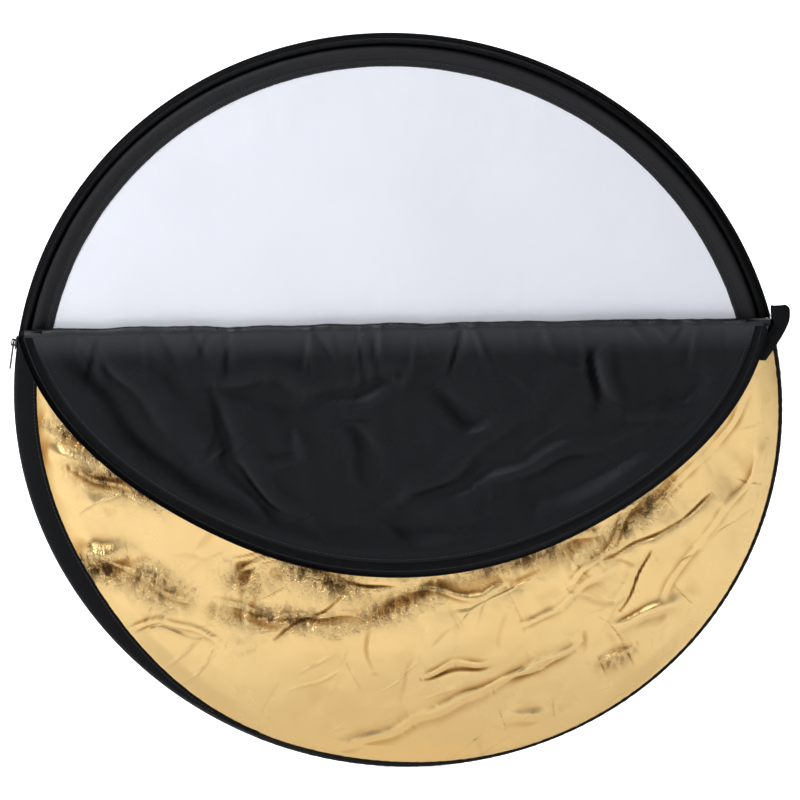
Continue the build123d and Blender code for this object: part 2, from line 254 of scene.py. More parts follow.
def sheet(name, front, back, material, cloth, **marks):
    """A closed sheet of cloth between two grids of points."""
    rows, columns = front.shape[:2]
    count = rows * columns
    index = np.arange(count).reshape(rows, columns)
    border = np.concatenate([index[0, :-1], index[:-1, -1], index[-1, :0:-1], index[:0:-1, 0]])
    after = np.roll(border, -1)
    strip = np.stack([border, after, after + count, border + count], axis=-1)
    front_faces = quads(rows, columns)
    faces = np.concatenate([front_faces, front_faces[:, ::-1] + count, strip[:, ::-1]])
    points = np.concatenate([front.reshape(-1, 3), back.reshape(-1, 3)])
    cloth = np.concatenate([cloth.reshape(-1, 2)] * 2)
    doubled = {mark: np.concatenate([values.ravel()] * 2) for mark, values in marks.items()}
    return piece(name, points, faces.tolist(), material, cloth, doubled)


def tube(name, sections, material, cloth=None, closed=False):
    """A closed skin over a run of loops: sections has the shape (loops, points in a loop, 3)."""
    rows, columns = sections.shape[:2]
    faces = quads(rows, columns, loop_rows=closed, loop_columns=True).tolist()
    if not closed:
        faces.append(list(range(columns)))
        faces.append(list(range((rows - 1) * columns, rows * columns)))
    return piece(name, sections, faces, material, cloth)


def patch(top, bottom, left, right):
    """A grid filled in between four edges of (x, z) points. top and bottom run left to right, left and
    right run top to bottom."""
    across = np.linspace(0, 1, len(top))[None, :, None]
    down = np.linspace(0, 1, len(left))[:, None, None]
    ruled = (1 - down) * top + down * bottom + (1 - across) * left[:, None] + across * right[:, None]
    corners = ((1 - down) * ((1 - across) * top[0] + across * top[-1])
               + down * ((1 - across) * bottom[0] + across * bottom[-1]))
    return ruled - corners


def arc_points(radius_at, first, last, count):
    angles = np.linspace(first, last, count)
    return np.stack(polar(radius_at(angles), angles), axis=-1)


def constant(radius):
    """One radius at every angle."""
    return lambda angles: np.full_like(angles, radius)


def fill_above(level, radius, columns, rows):
    """A grid of (x, z) over the part of a circle above a level line."""
    corner = math.degrees(math.asin(level / radius))
    bend = 52.0
    top = arc_points(constant(radius), 180 - bend, bend, columns)
    left = arc_points(constant(radius), 180 - bend, 180 - corner, rows)
    right = arc_points(constant(radius), bend, corner, rows)
    bottom = np.linspace(left[-1], right[-1], columns)
    return patch(top, bottom, left, right)


def creasing(depth, full=0.25):
    """How sharply a grid of depths bends at each point: above 0 in a valley, below 0 on a ridge. full is the
    step in depth that counts as 1."""
    around = np.pad(depth, 1, mode="edge")
    mean = (around[:-2, 1:-1] + around[2:, 1:-1] + around[1:-1, :-2] + around[1:-1, 2:]) / 4
    return np.clip((mean - depth) / full, -1, 1)


def rise(grid, depth):
    """Points in space from a grid of (x, z) and their depths."""
    return np.stack([grid[..., 0], depth, grid[..., 1]], axis=-1)


# ---- the flap's two places ----

def hang(height_shut):
    """The height at rest of a point of the flap, from its height when shut. The slack that a point has taken
    up depends on where it ends up, so the height is found by repeating the sum until it settles."""
    folded = 2 * FOLD_HEIGHT - height_shut
    height = folded
    for _ in range(30):
        height = folded + SLACK * smooth((DROP_START - height) / (DROP_START - DROP_END))
    return height


def hang_points(points_shut):
    """Points of the flap at rest, from their places when shut."""
    return np.stack([points_shut[..., 0], 2 * FOLD_DEPTH - points_shut[..., 1], hang(points_shut[..., 2])],
                    axis=-1)


def flap_outline(x):
    """The height of the hung flap's lower edge above each x."""
    return hang(np.sqrt(np.maximum(RIM_RADIUS ** 2 - x ** 2, FOLD_HEIGHT ** 2)))


# ---- materials ----

def new_material(name):
    made = bpy.data.materials.new(name)
    made.use_nodes = True
    return made, made.node_tree.nodes, made.node_tree.links, made.node_tree.nodes["Principled BSDF"]


def set_inputs(shader, **values):
    for key, value in values.items():
        shader.inputs[key.replace("_", " ")].default_value = value


def scaled(nodes, links, source, factors):
    """A place in the cloth, scaled differently along its two ways."""
    mapping = nodes.new("ShaderNodeMapping")
    mapping.inputs["Scale"].default_value = factors
    links.new(source, mapping.inputs["Vector"])
    return mapping.outputs["Vector"]


def stored(nodes, name, kind="Fac"):
    """A number, or with kind "Vector" a place, that was stored at each point of the mesh."""
    made = nodes.new("ShaderNodeAttribute")
    made.attribute_name = name
    return made.outputs[kind]


def mixed(nodes, links, factor, first, second, blend="MIX"):
    """Two colours mixed. factor and second are each a socket or a fixed value."""
    made = nodes.new("ShaderNodeMix")
    made.data_type = "RGBA"
    made.blend_type = blend
    links.new(first, made.inputs["A"])
    for key, value in (("Factor", factor), ("B", second)):
        if isinstance(value, (float, tuple)):
            made.inputs[key].default_value = value
        else:
            links.new(value, made.inputs[key])
    return made.outputs["Result"]


def cell_edges(nodes, links, where, scale):
    """The distance to the nearest border between random cells."""
    cells = nodes.new("ShaderNodeTexVoronoi")
    cells.feature = "DISTANCE_TO_EDGE"
    cells.inputs["Scale"].default_value = scale
    links.new(where, cells.inputs["Vector"])
    return cells.outputs["Distance"]


def noise(nodes, links, place, scale, detail=3.0, rough=0.5):
    made = nodes.new("ShaderNodeTexNoise")
    set_inputs(made, Scale=scale, Detail=detail, Roughness=rough)
    links.new(place, made.inputs["Vector"])
    return made.outputs["Fac"]


def ramp(nodes, links, source, *stops):
    """A colour ramp from (position, colour) stops."""
    made = nodes.new("ShaderNodeValToRGB")
    elements = made.color_ramp.elements
    while len(elements) < len(stops):
        elements.new(0.5)
    for element, (position, colour) in zip(elements, stops):
        element.position = position
        element.color = (*colour, 1)
    links.new(source, made.inputs["Fac"])
    return made.outputs["Color"]


def to_range(nodes, links, source, low, high, from_low=0.0, from_high=1.0):
    made = nodes.new("ShaderNodeMapRange")
    made.inputs["From Min"].default_value = from_low
    made.inputs["From Max"].default_value = from_high
    made.inputs["To Min"].default_value = low
    made.inputs["To Max"].default_value = high
    links.new(source, made.inputs["Value"])
    return made.outputs["Result"]


def combined(nodes, links, operation, first, second=None):
    """One step of arithmetic on a number that varies over the surface."""
    made = nodes.new("ShaderNodeMath")
    made.operation = operation
    links.new(first, made.inputs[0])
    if isinstance(second, float):
        made.inputs[1].default_value = second
    elif second is not None:
        links.new(second, made.inputs[1])
    return made.outputs["Value"]


def bump(nodes, links, source, distance, strength=1.0, under=None):
    made = nodes.new("ShaderNodeBump")
    set_inputs(made, Strength=strength, Distance=distance)
    links.new(source, made.inputs["Height"])
    if under is not None:
        links.new(under, made.inputs["Normal"])
    return made.outputs["Normal"]


def weave(nodes, links, place, pitch):
    """Over-and-under threads: the height of a plain weave with this thread pitch in metres."""
    waves_made = []
    for direction in ("X", "Y"):
        wave = nodes.new("ShaderNodeTexWave")
        wave.bands_direction = direction
        set_inputs(wave, Scale=0.314 / pitch, Distortion=0.4, Detail=1.0)
        links.new(place, wave.inputs["Vector"])
        waves_made.append(wave.outputs["Fac"])
    return combined(nodes, links, "MULTIPLY", *waves_made)


def pressed_lines(nodes, links, place, turn):
    """Fine broken creases that run mostly one way, 1 on a crease and 0 away from it."""
    wander = nodes.new("ShaderNodeTexNoise")
    set_inputs(wander, Scale=6.0, Detail=2.0)
    links.new(place, wander.inputs["Vector"])
    bent = nodes.new("ShaderNodeVectorMath")
    bent.operation = "MULTIPLY_ADD"
    links.new(wander.outputs["Color"], bent.inputs[0])
    bent.inputs[1].default_value = (0.09, 0.09, 0.0)
    links.new(place, bent.inputs[2])
    stretched = nodes.new("ShaderNodeMapping")
    stretched.vector_type = "TEXTURE"
    stretched.inputs["Rotation"].default_value = (0, 0, math.radians(turn))
    stretched.inputs["Scale"].default_value = (3.4, 1.0, 1.0)
    links.new(bent.outputs["Vector"], stretched.inputs["Vector"])
    cells = cell_edges(nodes, links, stretched.outputs["Vector"], 17.0)
    line = to_range(nodes, links, cells, 1.0, 0.0, 0.0, 0.03)
    broken = to_range(nodes, links, noise(nodes, links, place, 11.0, 2.0), 0.0, 1.0, 0.50, 0.64)
    return combined(nodes, links, "MULTIPLY", line, broken)


def foil(name, bright, dark, shade, roughness, crinkle):
    """Metal-coated film: a mirror-like face with fine crinkles, and painted shade along its creases."""
    made, nodes, links, shader = new_material(name)
    place = stored(nodes, "cloth", "Vector")
    crushed = stored(nodes, "crackle")
    patchy = noise(nodes, links, place, 7.0, 4.0, 0.6)
    lines = pressed_lines(nodes, links, place, 34.0)
    shards = noise(nodes, links, scaled(nodes, links, place, (1.0, 0.5, 1.0)), 85.0, 5.0, 0.62)

    # Painted shade: the colour darkens in valleys and stays bright on ridges, by how sharply the film bends,
    # standing in for the dark surroundings that creases mirror.
    toned = ramp(nodes, links, to_range(nodes, links, stored(nodes, "tone"), 0.0, 1.0, -0.6, 0.9),
                 (0.0, bright), (0.42, bright), (0.62, shade), (1.0, dark))
    tint = ramp(nodes, links, patchy, (0.3, (0.94, 0.91, 0.86)), (0.7, (1.0, 1.0, 1.0)))
    # Painted shade: crushed bands and fine crease lines are darkened towards the dark colour.
    deepest = to_range(nodes, links, shards, 0.0, 0.95, 0.47, 0.57)
    painted_crackle_shade = combined(nodes, links, "MULTIPLY", deepest, crushed)
    wear_and_painted_shade = combined(nodes, links, "MAXIMUM", painted_crackle_shade, combined(nodes, links, "MULTIPLY", lines, 0.10))
    colour = mixed(nodes, links, wear_and_painted_shade, mixed(nodes, links, 1.0, toned, tint, "MULTIPLY"), (*dark, 1))
    links.new(colour, shader.inputs["Base Color"])
    set_inputs(shader, Metallic=1.0)
    links.new(to_range(nodes, links, patchy, roughness - 0.06, roughness + 0.1, 0.3, 0.7),
              shader.inputs["Roughness"])

    soft = noise(nodes, links, scaled(nodes, links, place, (1.0, 0.7, 1.0)), 14.0, 3.0, 0.5)
    cells = cell_edges(nodes, links, scaled(nodes, links, place, (1.0, 0.6, 1.0)), 48.0)
    facets = combined(nodes, links, "ABSOLUTE", combined(nodes, links, "SUBTRACT", shards, 0.5))
    large = bump(nodes, links, soft, 0.004 * crinkle)
    fine = bump(nodes, links, cells, 0.0015 * crinkle, 0.4, large)
    pressed = bump(nodes, links, lines, 0.0005 * crinkle, 1.0, fine)
    sharp = bump(nodes, links, combined(nodes, links, "MULTIPLY", facets, crushed), 0.022, 1.0, pressed)
    links.new(sharp, shader.inputs["Normal"])
    return made


def cloth(name, colour, sheen, pitch, roughness=0.55, relief=0.0002, mottled=0.25, shine=0.4):
    """Woven cloth: threads in relief, a soft sheen at grazing angles and slightly uneven colour. Ridges get
    a painted highlight and valleys painted shade, through a higher or lower specular level."""
    made, nodes, links, shader = new_material(name)
    place = stored(nodes, "cloth", "Vector")
    uneven = noise(nodes, links, place, 9.0, 5.0, 0.6)
    light = tuple(min(1.0, channel * (1 + mottled)) for channel in colour)
    deep = tuple(channel * (1 - mottled) for channel in colour)
    links.new(ramp(nodes, links, uneven, (0.3, deep), (0.7, light)), shader.inputs["Base Color"])
    links.new(to_range(nodes, links, uneven, roughness - 0.08, roughness + 0.08, 0.3, 0.7),
              shader.inputs["Roughness"])
    # Painted highlight and shade: the specular level rises on ridges and in the band along the fold and
    # falls in valleys.
    links.new(to_range(nodes, links, stored(nodes, "tone"), 5.3 * shine, 0.15 * shine, -3.0, 1.0),
              shader.inputs["Specular IOR Level"])
    shader.inputs["Specular Tint"].default_value = (0.87, 0.92, 1.0, 1)
    shader.inputs["Sheen Weight"].default_value = sheen
    shader.inputs["Sheen Roughness"].default_value = 0.35
    shader.inputs["Sheen Tint"].default_value = (0.75, 0.8, 1.0, 1)
    crumple = bump(nodes, links, noise(nodes, links, place, 60.0, 4.0, 0.55), 0.0012, 0.5)
    links.new(bump(nodes, links, weave(nodes, links, place, pitch), relief, 0.8, crumple),
              shader.inputs["Normal"])
    return made


def translucent_cloth(name, colour, pitch):
    """Thin white nylon: light passes through it, with a fine weave and faint marks of handling."""
    made = cloth(name, colour, 0.05, pitch, roughness=0.6, relief=0.00008, mottled=0.012)
    nodes, links = made.node_tree.nodes, made.node_tree.links
    shader, output = nodes["Principled BSDF"], nodes["Material Output"]
    through = nodes.new("ShaderNodeBsdfTranslucent")
    through.inputs["Color"].default_value = (*colour, 1)
    mix = nodes.new("ShaderNodeMixShader")
    mix.inputs["Fac"].default_value = 0.3
    links.new(shader.outputs["BSDF"], mix.inputs[1])
    links.new(through.outputs["BSDF"], mix.inputs[2])
    links.new(mix.outputs["Shader"], output.inputs["Surface"])
    return made


def hard(name, colour, metallic, roughness, grain, wear_and_painted_shade=None):
    """Metal or plastic with a fine grain; worn is the colour where the finish has rubbed through."""
    made, nodes, links, shader = new_material(name)
    place = nodes.new("ShaderNodeTexCoord").outputs["Object"]
    speckle = noise(nodes, links, place, grain, 6.0, 0.65)
    rubbed = wear_and_painted_shade or tuple(channel * 1.3 for channel in colour)
    links.new(ramp(nodes, links, speckle, (0.35, colour), (0.6, colour), (0.78, rubbed)),
              shader.inputs["Base Color"])
    set_inputs(shader, Metallic=metallic)
    links.new(to_range(nodes, links, speckle, roughness - 0.08, roughness + 0.15, 0.3, 0.7),
              shader.inputs["Roughness"])
    links.new(bump(nodes, links, speckle, 0.0001, 0.6), shader.inputs["Normal"])
    return made


GOLD = foil("gold_foil", bright=(0.735, 0.53, 0.245), dark=(0.07, 0.028, 0.007), shade=(0.42, 0.23, 0.07),
            roughness=0.24, crinkle=1.0)
SILVER = foil("silver_foil", bright=(0.80, 0.81, 0.83), dark=(0.16, 0.17, 0.18), shade=(0.50, 0.51, 0.53),
              roughness=0.26, crinkle=0.8)
TAFFETA = cloth("black_taffeta", (0.0022, 0.0022, 0.0028), sheen=0.003, pitch=0.0009, roughness=0.30,
                relief=0.00012, mottled=0.2, shine=0.115)
TAPE = cloth("zip_tape_twill", (0.0030, 0.0030, 0.0033), sheen=0.002, pitch=0.0011, roughness=0.42,
             relief=0.0003, mottled=0.25, shine=0.06)
SLEEVE = cloth("sleeve_twill", (0.0055, 0.0048, 0.0052), sheen=0.004, pitch=0.0010, roughness=0.5,
               relief=0.00025, mottled=0.25, shine=0.18)
LINING = cloth("white_lining", (0.80, 0.81, 0.83), sheen=0.05, pitch=0.0009, roughness=0.65,
               relief=0.0001, mottled=0.03)
DIFFUSER = translucent_cloth("diffuser_nylon", (0.90, 0.92, 0.98), pitch=0.0008)
THREAD = cloth("black_thread", (0.012, 0.012, 0.013), sheen=0.15, pitch=0.0006, roughness=0.5, relief=0.0002)
COIL = hard("coil_nylon", (0.010, 0.010, 0.011), metallic=0.0, roughness=0.35, grain=900.0)
ENAMEL = hard("slider_enamel", (0.012, 0.012, 0.014), metallic=0.2, roughness=0.30, grain=700.0,
              wear_and_painted_shade=(0.12, 0.12, 0.13))
STEEL = hard("spring_steel", (0.42, 0.43, 0.45), metallic=1.0, roughness=0.32, grain=500.0)
FERRULE = hard("ferrule_steel", (0.55, 0.55, 0.56), metallic=1.0, roughness=0.28, grain=450.0)
RIVET = hard("rivet_steel", (0.60, 0.60, 0.61), metallic=1.0, roughness=0.25, grain=600.0)
STOP = hard("stop_plastic", (0.014, 0.014, 0.015), metallic=0.0, roughness=0.4, grain=800.0,
            wear_and_painted_shade=(0.05, 0.05, 0.052))


# ---- the cover's front panel, below the fold ----

# Folds pressed into the gold film: start (x, z), end, width, height.
GOLD_FOLDS = [
    ((-374, 36), (-348, 16), 6, -2.6),
    ((-376, -10), (-334, -34), 7, -3.0),
    ((-352, -66), (-222, -104), 10, -5.0),
    ((-350, -172), (-262, -205), 10, -3.2),
    ((-178, -170), (-170, -204), 9, -3.6),
    ((-160, -160), (-140, -208), 12, 3.4),
    ((-134, -165), (-60, -196), 12, -3.2),
    ((-205, -226), (-124, -250), 8, -3.0),
    ((-124, -238), (-46, -244), 9, -3.2),
    ((-46, -240), (34, -204), 9, -3.6),
    ((-72, -222), (52, -186), 10, 3.0),
    ((30, -204), (118, -200), 9, -3.6),
    ((110, -204), (206, -150), 10, -4.0),
    ((208, -168), (292, -88), 9, -3.4),
    ((190, -184), (280, -104), 14, 2.6),
    ((374, -90), (402, -50), 10, 2.6),
    ((206, -297), (239, -281), 6, 2.4),
    ((229, -258), (300, -215), 7, 3.0),
    ((-10, -360), (88, -317), 6, 2.1),
    ((88, -317), (176, -273), 6, 2.0),
    ((-86, -391), (2, -354), 6, 2.2),
    ((18, -310), (84, -289), 3.2, -0.9),
    ((97, -356), (157, -346), 6, 2.6),
    ((182, -213), (374, -98), 16, 3.4),
    ((-60, -300), (120, -240), 30, 3.0),
    ((-330, -230), (-150, -330), 34, 2.6),
]

# Broad soft folds, whose upper faces catch the light.
GOLD_ROLLS = [
    ((-396, -44), (-278, -72), 13, 7.6),
    ((-384, -6), (-330, -30), 11, 4.6),
    ((-366, -164), (-296, -158), 11, 6.4),
]

# Thin creases: the points each one runs through, and its height.
GOLD_CREASES = [
    ([(185, -201), (216, -167), (256, -104), (296, -71)], 1.2),
    ([(219, -170), (298, -132), (336, -103)], -1.1),
    ([(228, -250), (272, -227), (318, -161), (403, -44)], 1.1),
    ([(232, -229), (264, -166)], -1.2),
    ([(168, -158), (217, -137)], 1.3),
    ([(102, -208), (140, -188)], -1.2),
    ([(21, -307), (51, -291), (85, -287)], 1.2),
    ([(33, -336), (103, -306), (147, -296), (183, -267)], 1.0),
    ([(206, -294), (246, -272)], 1.4),
    ([(-5, -204), (86, -214), (124, -197)], 1.3),
    ([(-329, -155), (-280, -192), (-230, -219)], 1.3),
    ([(-203, -216), (-134, -232), (-60, -236)], 1.3),
    ([(-352, -65), (-290, -88), (-215, -107)], 1.4),
    ([(-126, -164), (-69, -199), (-5, -204)], -1.3),
    ([(-177, -186), (-153, -170), (-126, -164)], 1.2),
    ([(-141, -260), (-69, -216)], -1.0),
    ([(-310, -250), (-262, -236), (-200, -262)], 0.8),
    ([(120, -250), (170, -226), (230, -180)], 0.9),
    ([(260, -120), (330, -58), (380, 10)], 0.8),
]
CREASE_WIDTH = 2.8

# Where the film is crushed into fine crackles, also darkened there with painted shade: start (x, z), end,
# width, strength.
CRACKLES = [
    ((-376, -14), (-326, -36), 9, 0.8),
    ((-350, -62), (-222, -104), 14, 1.0),
    ((-350, -170), (-296, -186), 15, 0.9),
    ((-300, -176), (-238, -214), 17, 0.8),
    ((-190, -186), (-150, -200), 16, 0.7),
    ((-140, -172), (-40, -212), 18, 0.8),
    ((-205, -228), (-60, -246), 12, 0.7),
    ((-60, -244), (60, -196), 13, 0.7),
    ((50, -196), (206, -152), 12, 0.7),
    ((208, -168), (292, -90), 11, 0.7),
    ((204, -297), (240, -280), 9, 0.5),
]

FILM_DEPTH = 2.8            # how proud the loose film stands of its CAD face
COVER_RUN = 45              # the distance over which the film goes flat under the hung flap
QUIET_RUN = 24              # the distance from its edge over which the film's relief dies away
SEWN_DEPTH = 5.8            # where the film's edge is sewn in, half way through the rim

gold_swell, gold_ripple, *gold_warps = sheet_waves((9, 90, 260), (14, 24, 60), (6, 50, 120))


def tape_shift(angles):
    """How far the zip tape's sewn edge has moved outward: the tape narrows towards its lower end."""
    return TAPE_NARROWING * smooth((np.asarray(angles) - NARROWING_START) / NARROWING_RUN)


def panel_radius(angles):
    """The front panel's edge: under the zip tape on the left, out at the rim where it is sewn."""
    sewn = smooth((angles - ZIP_END + 6) / 12)
    taped = TAPE_INNER + 2 + tape_shift(angles)
    return taped + (SEWN_RADIUS - taped) * sewn


def gold_grid(columns, rows):
    """A grid of (x, z) over the front panel below the fold."""
    left_end = 180 - math.degrees(math.asin(FOLD_EDGE / (TAPE_INNER + 2)))
    right_end = 360 + math.degrees(math.asin(FOLD_EDGE / SEWN_RADIUS))
    left = arc_points(panel_radius, left_end, LOWER_LEFT, rows)
    bottom = arc_points(panel_radius, LOWER_LEFT, LOWER_RIGHT, columns)
    right = arc_points(panel_radius, right_end, LOWER_RIGHT, rows)
    top = np.linspace(left[0], right[0], columns)
    return patch(top, bottom, left, right)


def gold_depth(grid):
    """How far forward the gold face stands. Under the hung flap the film lies pressed flat."""
    x, z = grid[..., 0], grid[..., 1]
    bent_x, bent_z = bent(x, z, gold_warps, 3)
    relief = FILM_DEPTH + 1.1 * gold_swell(x, z) + 0.1 * gold_ripple(x, z)
    for start, end, width, height in GOLD_FOLDS:
        relief += fold_line(bent_x, bent_z, start, end, width, height)
    for start, end, width, height in GOLD_ROLLS:
        relief += fold_line(bent_x, bent_z, start, end, width, height, crisp=False)
    for points, height in GOLD_CREASES:
        for start, end in zip(points, points[1:]):
            relief += fold_line(bent_x, bent_z, start, end, CREASE_WIDTH, height)
    relief += random_folds(bent_x, bent_z, 26, (-380, -120, -260, 20), 60, 8.0, 0.7)
    relief += random_folds(bent_x, bent_z, 30, (-250, 320, -280, -130), 60, 8.0, 0.7)
    relief += random_folds(bent_x, bent_z, 26, (-200, 380, -400, 0), 110, 10.0, 0.45)
    relief = soft_floor(relief)
    slope = (flap_outline(x + 1) - flap_outline(x - 1)) / 2
    covered = smooth((z - flap_outline(x)) / np.hypot(1, slope) / COVER_RUN)
    relief = relief * (1 - covered) + 0.5 * np.tanh(relief / 3) * covered
    radius, angle = np.hypot(x, z), angle_of(x, z)
    sewn = smooth((angle - ZIP_END + 3) / 3) + (angle < 90)
    falling = sewn_curve(radius) * np.clip(sewn, 0, 1)
    quiet = smooth((panel_radius(np.where(angle < 90, 360.0, angle)) - radius) / QUIET_RUN)
    return PANEL_FRONT + relief * quiet - (PANEL_FRONT - SEWN_DEPTH) * falling


def crackle_at(grid):
    """How crushed the film is at each point of a grid, from 0 to 1."""
    x, z = grid[..., 0], grid[..., 1]
    total = np.zeros_like(x)
    for start, end, width, strength in CRACKLES:
        total = np.maximum(total, fold_line(x, z, start, end, width, 1.3 * strength, crisp=False))
    return np.clip(total, 0, 1)


grid = gold_grid(331, 231)
depth = gold_depth(grid)
# Painted shade: the gold darkens in its valleys, by how sharply the film bends there.
gold = sheet("cover_gold_front", rise(grid, depth), rise(grid, depth - CLOTH), GOLD, grid,
             tone=creasing(depth, 0.14), crackle=crackle_at(grid))
attach(gold, "cover", "gold_foil", "front_gold_panel")

coarse, coarse_depth = grid[::2, ::2], depth[::2, ::2]
lining = sheet("cover_black_lining", rise(coarse, coarse_depth - CLOTH),
               rise(coarse, coarse_depth - 2 * CLOTH), TAFFETA, coarse)
attach(lining, "cover", "black_cloth", "front_black_lining")


# ---- the flap: black lining outward, gold film behind it ----

# Folds in the hung flap: start (x, z), end, width, height (above 0 stands forward), crisp or soft.
FLAP_FOLDS = [
    ((-352, 84), (-236, -62), 12, -5.4, False),
    ((-236, -62), (-134, -150), 11, -4.0, False),
    ((-300, 70), (-212, -40), 16, 3.4, False),
    ((-200, 14), (-181, -60), 7, -3.8, True),
    ((-186, -48), (-130, -130), 6, -4.8, True),
    ((-168, -40), (-112, -122), 13, 3.4, False),
    ((-196, 18), (-94, 10), 7, -3.4, True),
    ((-94, 10), (4, 42), 10, -2.8, False),
    ((-190, 34), (-60, 30), 14, 2.8, False),
    ((-14, -104), (146, 4), 9, 5.4, True),
    ((146, 4), (187, 50), 8, 4.2, True),
    ((-2, -110), (138, -56), 14, -3.4, False),
    ((74, -93), (268, -20), 9, 4.2, True),
    ((90, -112), (250, -60), 16, -3.2, False),
    ((236, -8), (308, -3), 8, 3.0, True),
    ((214, 72), (206, -2), 8, -3.6, True),
    ((232, 66), (226, 6), 10, 2.6, False),
    ((-130, -128), (-30, -178), 8, -3.2, True),
    ((-116, -16), (-96, -62), 5, 2.4, True),
    ((-170, -57), (-104, -64), 4.5, 2.4, True),
    ((-24, -106), (60, -174), 14, -3.6, False),
    ((392, 84), (346, -2), 11, -5.6, False),
    ((346, -2), (290, -68), 11, -4.8, False),
    ((352, 60), (300, -20), 16, 2.8, False),
    ((-60, 60), (60, 66), 18, 1.6, False),
    ((40, 20), (96, -30), 8, -2.6, True),
    ((-60, -20), (-20, -80), 12, -2.4, False),
]

# How far behind FLAP_FRONT the cloth lies: on average and at most either way, at the fold, and at the hem.
FLAP_LIE, FLAP_SWING = 4.0, 3.9
FOLD_DROP, HEM_DROP, LARGEST_DROP = 1.5, 0.2, 7.8

flap_swell, flap_ripple, *flap_warps = sheet_waves((8, 120, 300), (12, 26, 70), (5, 60, 140))

# Puckers that hang from the fold: x, lean, length, width and depth of each.
PUCKERS = [(RNG.uniform(-370, 385), RNG.uniform(-26, 26), RNG.uniform(16, 62), RNG.uniform(2.8, 6.5),
            RNG.uniform(-1.2, 1.5)) for _ in range(44)]


def flap_drop(x, z, radius_shut):
    """How far behind FLAP_FRONT the hung flap's black face lies."""
    bent_x, bent_z = bent(x, z, flap_warps, 6)
    relief = 0.9 * flap_swell(x, z) + 0.14 * flap_ripple(x, z)
    for start, end, width, height, crisp in FLAP_FOLDS:
        relief += fold_line(bent_x, bent_z, start, end, width, height, crisp)
    state = RNG.bit_generator.state
    relief += random_folds(bent_x, bent_z, 50, (-330, 340, -170, 70), 60, 7.0, 0.5)
    RNG.bit_generator.state = state
    middle = smooth((HEM - 8 - radius_shut) / 30)
    drop = FLAP_LIE - FLAP_SWING * np.tanh(1.6 * relief / FLAP_SWING)
    near_fold = smooth((z - 40) / 46)
    drop = drop * (1 - near_fold) + FOLD_DROP * near_fold
    for at, lean, length, width, size in PUCKERS:
        drop += fold_line(x, z, (at, FOLD_EDGE + 8), (at + lean, FOLD_EDGE - length), width, size)
    drop = drop * middle + HEM_DROP * (1 - middle)
    return np.clip(drop, 0.05, LARGEST_DROP)


def flap_surface(grid_shut):
    """The hung flap's heights and black-face depths, from its grid when shut."""
    x, z_shut = grid_shut[..., 0], grid_shut[..., 1]
    z = hang(z_shut)
    return z, FLAP_FRONT - flap_drop(x, z, np.hypot(x, z_shut))


def flap_sheet(name, radius, behind, material, front_layer):
    """One layer of the flap, lying so far behind the black face."""
    grid_shut = fill_above(2 * FOLD_HEIGHT - FOLD_EDGE, radius, 220, 150)
    z, face = flap_surface(grid_shut)
    hung = np.stack([grid_shut[..., 0], z], axis=-1)
    # Painted shading from how sharply the cloth bends: highlight on ridges and shade in valleys of the black
    # face, shade in the valleys of the gold layer behind.
    bend = creasing(face) if front_layer else -creasing(face)
    if front_layer:
        # Painted highlight: the black face's band along the fold is marked to shine more.
        bend = bend + PAINTED_FOLD_HIGHLIGHT * smooth((z - 54) / 34)
    return sheet(name, rise(hung, face - behind), rise(hung, face - behind - CLOTH), material, grid_shut,
                 tone=bend)


FLAP_BODIES = "flap_fold", "flap"
black = flap_sheet("flap_black", HEM, 0.0, TAFFETA, True)
attach(black, FLAP_BODIES, "black_cloth", "flap_black_lining", "fold_black_layer")
gold_flap = flap_sheet("flap_gold", TAPE_INNER + 3, CLOTH + 0.05, GOLD, False)
attach(gold_flap, FLAP_BODIES, "gold_foil", "flap_gold_layer", "fold_gold_layer")


# ---- the roll of cloth at the fold ----

ROLL_RISE = 5.2             # how high the roll stands over the panels' edge, before its waves
ROLL_LAP = 1.5              # how far its two ends come down over the panels
ROLL_STEPS = 22
ROLL_PITCH = 2.1


def fold_roll(name, inset, material, left, right):
    """Cloth going over the top of the crease, from the cover's plane to the hanging flap."""
    x = np.linspace(left, right, max(12, int((right - left) / ROLL_PITCH)))[:, None]
    turn = np.linspace(0, 180, ROLL_STEPS)[None, :]
    ahead, up = np.cos(np.radians(turn)), np.sin(np.radians(turn))
    edge_radius = np.hypot(x[:, 0], 2 * FOLD_HEIGHT - FOLD_EDGE)
    drop_front = flap_drop(x[:, 0], np.full(len(x), FOLD_EDGE), edge_radius)
    drop = (drop_front[:, None] + 2 * FOLD_DEPTH - PANEL_BACK - FLAP_FRONT) * smooth(turn / 180)
    reach = FOLD_DEPTH - PANEL_BACK - drop
    lift = roll_lift(x[:, 0])[:, None] * up

    def shell(inward):
        depth_at = FOLD_DEPTH - (reach - inward) * ahead
        height = FOLD_EDGE + ROLL_LAP + (ROLL_RISE - inward + lift) * up - ROLL_LAP * np.abs(ahead) ** 4
        return np.stack([np.broadcast_to(x, depth_at.shape), depth_at, height], axis=-1)

    flat = np.stack(np.broadcast_arrays(x, turn * 0.1), axis=-1)
    # The black roll carries the painted highlight of the fold; the other layers get none.
    tone = np.full(flat.shape[:2], PAINTED_FOLD_HIGHLIGHT if material is TAFFETA else 0.0)
    made = sheet(name, shell(inset), shell(inset + CLOTH), material, flat, tone=tone)
    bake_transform(made)


roll_lift_waves = line_waves(7, 60, 240)
roll_short_waves = line_waves(7, 12, 34)


def roll_lift(x):
    """How much higher than ROLL_RISE the roll stands at each x, flattening out towards its ends."""
    ends = smooth((403 - np.abs(x)) / 30)
    return (1.0 + 0.9 * roll_lift_waves(x) + 0.22 * roll_short_waves(x)) * ends


fold_roll("fold_roll_black", 0.0, TAFFETA, -394, 401)
fold_roll("fold_roll_gold", CLOTH + 0.03, GOLD, -390, 399)
fold_roll("fold_roll_tape", 2 * CLOTH + 0.06, TAPE, -400, -386)


# ---- rings of cloth ----

